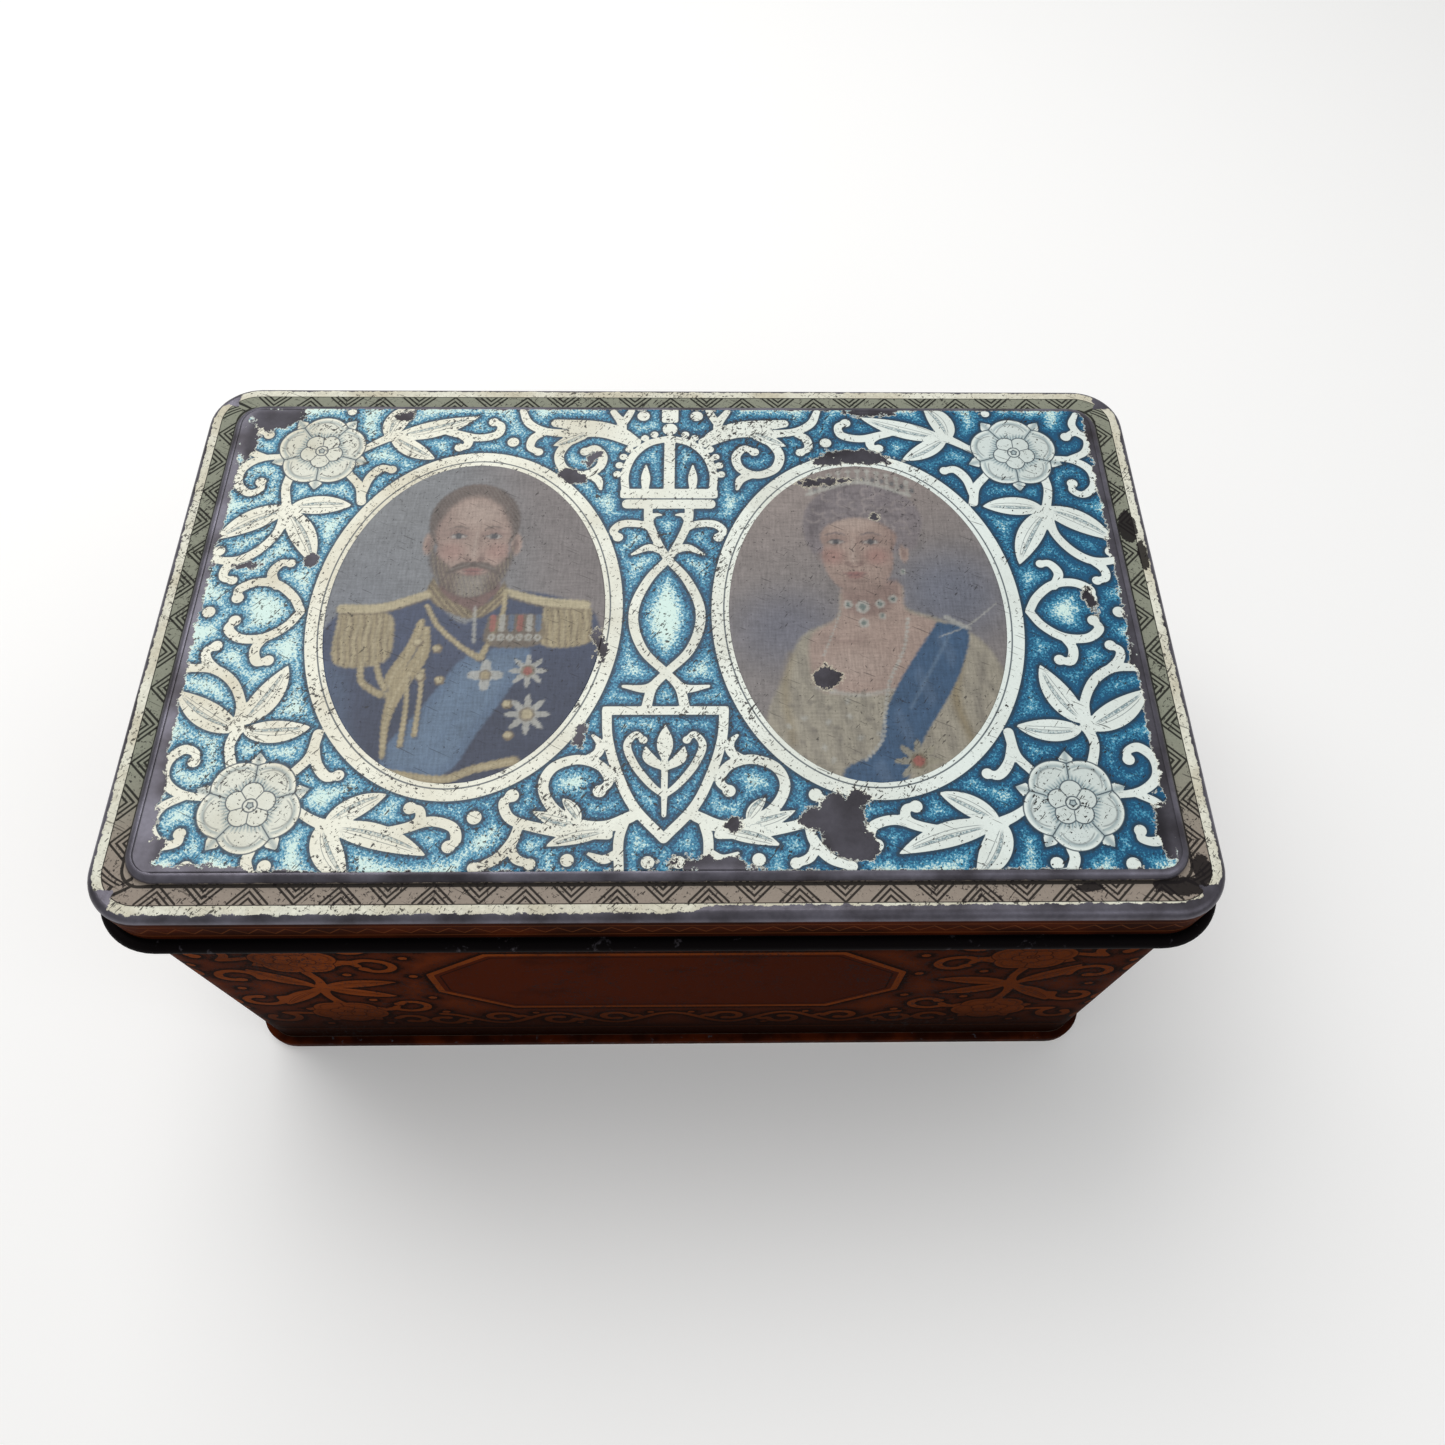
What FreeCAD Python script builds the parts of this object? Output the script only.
"""Hinged rectangular tinplate tin: seamed body, wired lid, strap hinge.

Frame: +X to the right along the long side, +Y to the hinge side, +Z up.
The origin is the centre of the footprint, on the surface the tin stands on.
"""
import FreeCAD
import Part
import math
import os

CLOSE = 1e-4                    # two heights or distances this near are the same

# ---- driving dimensions, mm ----
LID_W, LID_D = 170.0, 104.6     # lid, outside the skirt
LID_R = 8.5                     # corner radius of the skirt
SHEET = 0.3                     # tinplate thickness
BORDER_Z = 80.8                 # top of the lid's flat border
PANEL_RISE = 1.5                # raised centre panel, above the border
PANEL_INSET = 5.6               # skirt face to the panel's side
PANEL_R = 5.0                   # panel corner radius
SHOULDER_R = 1.4                # roll between border and skirt
PANEL_EDGE_R = 1.3              # roll round the panel's top edge
CHANNEL_R = 0.5                 # corner where the border meets the panel's side
HEM_Z = 71.6                    # centre of the wired hem, and the hinge axis
WIRE_R = 0.8                    # hem wire
HEM_TUCK = 0.06                 # how far the hem curl reaches inside the skirt

BODY_INSET = 1.4                # skirt face to body face
BODY_R = 6.0                    # corner radius of the body
RIM_Z = 80.0                    # top of the curled body rim
RIM_R = 1.0                     # outside radius of the rim curl
RIM_SLIT = 0.3                  # opening left between the curl and the wall

SEAM_H = 3.0                    # height of the double seam at the foot
SEAM_FOLDS = 3                  # sheets folded above the body flange's hook
SEAM_OUT = 1.5                  # how far the seam stands out of the body
SEAM_EDGE_R = 0.6               # rounding of the seam's outer edges
FLANGE_OUT = 1.1                # body flange held inside the seam
PANEL_RECESS = 3.0              # underside of the bottom plate, above the foot

LOCK_W = 4.0                    # side seam down the back of the body
LOCK_T = 2 * SHEET
LOCK_EDGE_R = 0.27
LOCK_TOP = 68.5

HINGE_X = 52.0                  # strap centres, either side of the middle
STRAP_W = 11.0
STRAP_T = 0.25
STRAP_CLEAR = 0.05              # radial clearance between wire and strap loop
STRAP_FOOT_Z = 57.0             # lower end of the strap
STRAP_BEND_Z = 69.0             # where the strap leaves the body wall
LOOP_END = 235.0                # degrees, free end of the loop round the wire
NOTCH_SIDE = 0.5                # gap between strap and notch, each side
NOTCH_INSIDE = 0.45             # how far the notch reaches inside the skirt's outer face
NOTCH_TOP_Z = HEM_Z + 2.0

RIVET_Z = 61.5
RIVET_X = 2.9                   # rivets either side of the strap's middle
RIVET_R = 0.8
HEAD_R, HEAD_H = 1.7, 0.6
UPSET_R, UPSET_H = 1.4, 0.4

# ---- sizes that follow ----
BODY_W, BODY_D = LID_W - 2 * BODY_INSET, LID_D - 2 * BODY_INSET
PANEL_Z = BORDER_Z + PANEL_RISE
HEM_R = WIRE_R + SHEET
HEM_OUT = HEM_R - SHEET - HEM_TUCK      # hem centre, outside the skirt face
HINGE_Y = LID_D / 2 + HEM_OUT           # hinge axis, in the rear hem
WALL_Y = BODY_D / 2                     # outer face of the rear wall


def rounded_wire(w, d, r, z):
    """Closed rectangle with round corners, centred on the Z axis."""
    x, y = w / 2, d / 2
    up = FreeCAD.Vector(0, 0, 1)
    corners = [(x - r, y - r, 0), (r - x, y - r, 90), (r - x, r - y, 180), (x - r, r - y, 270)]
    edges = []
    for index, (cx, cy, start) in enumerate(corners):
        centre = FreeCAD.Vector(cx, cy, z)
        arc = Part.makeCircle(r, centre, up, start, start + 90)
        edges.append(arc)
        nx, ny, begin = corners[(index + 1) % 4]
        angle = math.radians(begin)
        spoke = FreeCAD.Vector(r * math.cos(angle), r * math.sin(angle), 0)
        edges.append(Part.makeLine(centre + spoke, FreeCAD.Vector(nx, ny, z) + spoke))
    return Part.Wire(edges)


def rounded_block(w, d, r, z0, z1):
    """Upright block with round vertical corners."""
    face = Part.Face(rounded_wire(w, d, r, z0))
    return face.extrude(FreeCAD.Vector(0, 0, z1 - z0))


def body_ring(outer, inner, z0, z1):
    """Upright ring round the body; outer and inner are offsets from its face."""
    big = rounded_block(BODY_W + 2 * outer, BODY_D + 2 * outer, BODY_R + outer, z0, z1)
    small = rounded_block(BODY_W + 2 * inner, BODY_D + 2 * inner, BODY_R + inner, z0, z1)
    return big.cut(small)


def rod_ring(w, d, r, z, rod_r):
    """Round rod bent to a closed rectangle with round corners."""
    x, y = w / 2 - r, d / 2 - r
    up = FreeCAD.Vector(0, 0, 1)
    runs = []
    for cx, cy, start in ((x, y, 0), (-x, y, 90), (-x, -y, 180), (x, -y, 270)):
        centre = FreeCAD.Vector(cx, cy, z)
        bend = Part.makeTorus(r, rod_r, FreeCAD.Vector(), up, 0, 360, 90)
        bend.rotate(FreeCAD.Vector(), up, start)
        bend.translate(centre)
        angle = math.radians(start)
        spoke = FreeCAD.Vector(math.cos(angle), math.sin(angle), 0)
        heading = FreeCAD.Vector(math.sin(angle), -math.cos(angle), 0)
        length = 2 * (y if start % 180 == 0 else x)
        runs += [bend, Part.makeCylinder(rod_r, length, centre + spoke * r, heading)]
    return runs[0].fuse(runs[1:]).removeSplitter()


def level_edges(shape):
    """Edges of a shape that lie in one horizontal plane."""
    return [edge for edge in shape.Edges if edge.BoundBox.ZMax - edge.BoundBox.ZMin < CLOSE]


def outline_edges(shape, w, d, r, z):
    """Edges at height z that run along the rounded rectangle w by d."""
    found = []
    for edge in level_edges(shape):
        mid = edge.valueAt((edge.FirstParameter + edge.LastParameter) / 2)
        past_x, past_y = abs(mid.x) - (w / 2 - r), abs(mid.y) - (d / 2 - r)
        outside = math.hypot(max(past_x, 0), max(past_y, 0)) + min(max(past_x, past_y), 0) - r
        if abs(mid.z - z) < CLOSE and abs(outside) < CLOSE:
            found.append(edge)
    return found


def lid_form(inward):
    """Solid form of the lid's pressing; inward is how far it lies under the outer face."""
    border_z, panel_z = BORDER_Z - inward, PANEL_Z - inward
    skirt = (LID_W - 2 * inward, LID_D - 2 * inward, LID_R - inward)
    base = rounded_block(*skirt, HEM_Z, border_z)
    base = base.makeFillet(SHOULDER_R - inward, outline_edges(base, *skirt, border_z))
    inset = 2 * (PANEL_INSET + inward)
    raised = (LID_W - inset, LID_D - inset, PANEL_R - inward)
    panel = rounded_block(*raised, HEM_Z, panel_z)
    panel = panel.makeFillet(PANEL_EDGE_R - inward, outline_edges(panel, *raised, panel_z))
    form = base.fuse(panel).removeSplitter()
    return form.makeFillet(CHANNEL_R + inward, outline_edges(form, *raised, border_z))


def hem_ring(rod_r):
    """Ring of the given section along the centre of the lid's wired hem."""
    return rod_ring(LID_W + 2 * HEM_OUT, LID_D + 2 * HEM_OUT, LID_R + HEM_OUT, HEM_Z, rod_r)


def lid_shell():
    """Lid pressing, with its hem curled round the wire and notched for the straps."""
    wire_space = hem_ring(WIRE_R)
    shell = lid_form(0.0).cut(lid_form(SHEET)).fuse(hem_ring(HEM_R)).cut(wire_space)
    width = STRAP_W + 2 * NOTCH_SIDE
    past_hem = 2 * HEM_R
    for side in (-1, 1):
        corner = FreeCAD.Vector(side * HINGE_X - width / 2, LID_D / 2 - NOTCH_INSIDE, HEM_Z - past_hem)
        shell = shell.cut(Part.makeBox(width, NOTCH_INSIDE + past_hem, NOTCH_TOP_Z - corner.z, corner))
    return shell


def rivet_places():
    """Name and X of each strap rivet."""
    places = []
    for side, name in ((-1, "left"), (1, "right")):
        for end, where in ((-1, "inner"), (1, "outer")):
            places.append((f"{name}_{where}", side * HINGE_X + side * end * RIVET_X))
    return places


def rivet_shank(x):
    """Shank of one rivet, through the strap and the body wall."""
    base = FreeCAD.Vector(x, WALL_Y - SHEET, RIVET_Z)
    return Part.makeCylinder(RIVET_R, SHEET + STRAP_T, base, FreeCAD.Vector(0, 1, 0))


def rivet(x):
    """Rivet with a domed head outside and a flat upset head inside."""
    out = FreeCAD.Vector(0, 1, 0)
    face_y = WALL_Y + STRAP_T
    dome_r = (HEAD_R ** 2 + HEAD_H ** 2) / (2 * HEAD_H)
    ball = Part.makeSphere(dome_r, FreeCAD.Vector(x, face_y + HEAD_H - dome_r, RIVET_Z))
    head = Part.makeCylinder(HEAD_R, HEAD_H, FreeCAD.Vector(x, face_y, RIVET_Z), out).common(ball)
    inside = FreeCAD.Vector(x, WALL_Y - SHEET - UPSET_H, RIVET_Z)
    upset = Part.makeCylinder(UPSET_R, UPSET_H, inside, out)
    return rivet_shank(x).fuse([head, upset]).removeSplitter()


def cut_rivet_holes(shape):
    """Punch the rivet holes."""
    for _, x in rivet_places():
        shape = shape.cut(rivet_shank(x))
    return shape


def body_wall():
    """Body wrap: curled rim, side seam at the back, flange at the foot."""
    wall = body_ring(0, -SHEET, SHEET, RIM_Z - RIM_R)
    flange = body_ring(FLANGE_OUT, -SHEET, SHEET, 2 * SHEET)
    hook = body_ring(FLANGE_OUT, FLANGE_OUT - SHEET, SHEET, SEAM_H - SEAM_FOLDS * SHEET)
    curl_w, curl_d, curl_r = BODY_W - 2 * RIM_R, BODY_D - 2 * RIM_R, BODY_R - RIM_R
    curl_z = RIM_Z - RIM_R
    curl = rod_ring(curl_w, curl_d, curl_r, curl_z, RIM_R)
    curl = curl.cut(rod_ring(curl_w, curl_d, curl_r, curl_z, RIM_R - SHEET))
    slit = body_ring(-SHEET, -SHEET - RIM_SLIT, curl_z - RIM_R, curl_z - SHEET)
    lock = Part.makeBox(LOCK_W, LOCK_T, LOCK_TOP - SEAM_H,
                        FreeCAD.Vector(-LOCK_W / 2, WALL_Y, SEAM_H))
    lock_face = WALL_Y + LOCK_T
    lock = lock.makeFillet(LOCK_EDGE_R, [e for e in lock.Edges if e.BoundBox.YMin > lock_face - 0.1])
    wrap = wall.fuse([flange, hook, curl.cut(slit), lock]).removeSplitter()
    return cut_rivet_holes(wrap)


def body_bottom():
    """Bottom plate, recessed, with its edge rolled round the body flange as the foot."""
    inner = -2 * SHEET
    plate = rounded_block(BODY_W + 2 * inner, BODY_D + 2 * inner, BODY_R + inner,
                          PANEL_RECESS, PANEL_RECESS + SHEET)
    chuck_wall = body_ring(-SHEET, inner, 0, PANEL_RECESS + SHEET)
    full = rounded_block(BODY_W + 2 * SEAM_OUT, BODY_D + 2 * SEAM_OUT, BODY_R + SEAM_OUT, 0, SEAM_H)
    full = full.makeFillet(SEAM_EDGE_R, level_edges(full))
    hollow = rounded_block(BODY_W + 2 * inner, BODY_D + 2 * inner, BODY_R + inner, 0, SEAM_H)
    pocket = body_ring(SEAM_OUT - SHEET, -SHEET, SHEET, SEAM_H - SHEET)
    mouth = body_ring(0, -SHEET, SEAM_H - SHEET, SEAM_H)
    seam = full.cut(hollow).cut(pocket).cut(mouth)
    return plate.fuse([chuck_wall, seam]).removeSplitter()


def hinge_strap(side):
    """Strap riveted to the rear wall and looped round the exposed hem wire."""
    inner_r = WIRE_R + STRAP_CLEAR
    outer_r = inner_r + STRAP_T
    x0 = side * HINGE_X - STRAP_W / 2
    along = FreeCAD.Vector(1, 0, 0)
    run = FreeCAD.Vector(STRAP_W, 0, 0)
    axis = FreeCAD.Vector(x0, HINGE_Y, HEM_Z)

    def at(y, z):
        return FreeCAD.Vector(x0, y, z)

    def round_at(radius, degrees):
        angle = math.radians(degrees)
        return at(HINGE_Y + radius * math.cos(angle), HEM_Z + radius * math.sin(angle))

    tail = [at(WALL_Y, STRAP_FOOT_Z), at(WALL_Y, STRAP_BEND_Z), round_at(outer_r, 180),
            round_at(inner_r, 180), at(WALL_Y + STRAP_T, STRAP_BEND_Z),
            at(WALL_Y + STRAP_T, STRAP_FOOT_Z)]
    tail = Part.Face(Part.makePolygon(tail + tail[:1])).extrude(run)
    loop = Part.makeCylinder(outer_r, STRAP_W, axis, along)
    loop = loop.cut(Part.makeCylinder(inner_r, STRAP_W, axis, along))
    well_past = 3 * outer_r
    gap = [round_at(0, 0), round_at(well_past, 180), round_at(well_past, LOOP_END)]
    gap = Part.Face(Part.makePolygon(gap + gap[:1])).extrude(run)
    return cut_rivet_holes(tail.fuse(loop.cut(gap)).removeSplitter())


def build():
    """Every piece of the tin, by node name."""
    pieces = {
        "body_wall": body_wall(),
        "body_bottom": body_bottom(),
        "lid_shell": lid_shell(),
        "hem_wire": hem_ring(WIRE_R),
        "hinge_strap_left": hinge_strap(-1),
        "hinge_strap_right": hinge_strap(1),
    }
    for name, x in rivet_places():
        pieces[f"hinge_rivet_{name}"] = rivet(x)
    return pieces


os.makedirs("parts", exist_ok=True)
for node, shape in build().items():
    print(node, shape.isValid(), len(shape.Solids), round(shape.Volume, 1))
    shape.exportStep(f"parts/{node}.step")
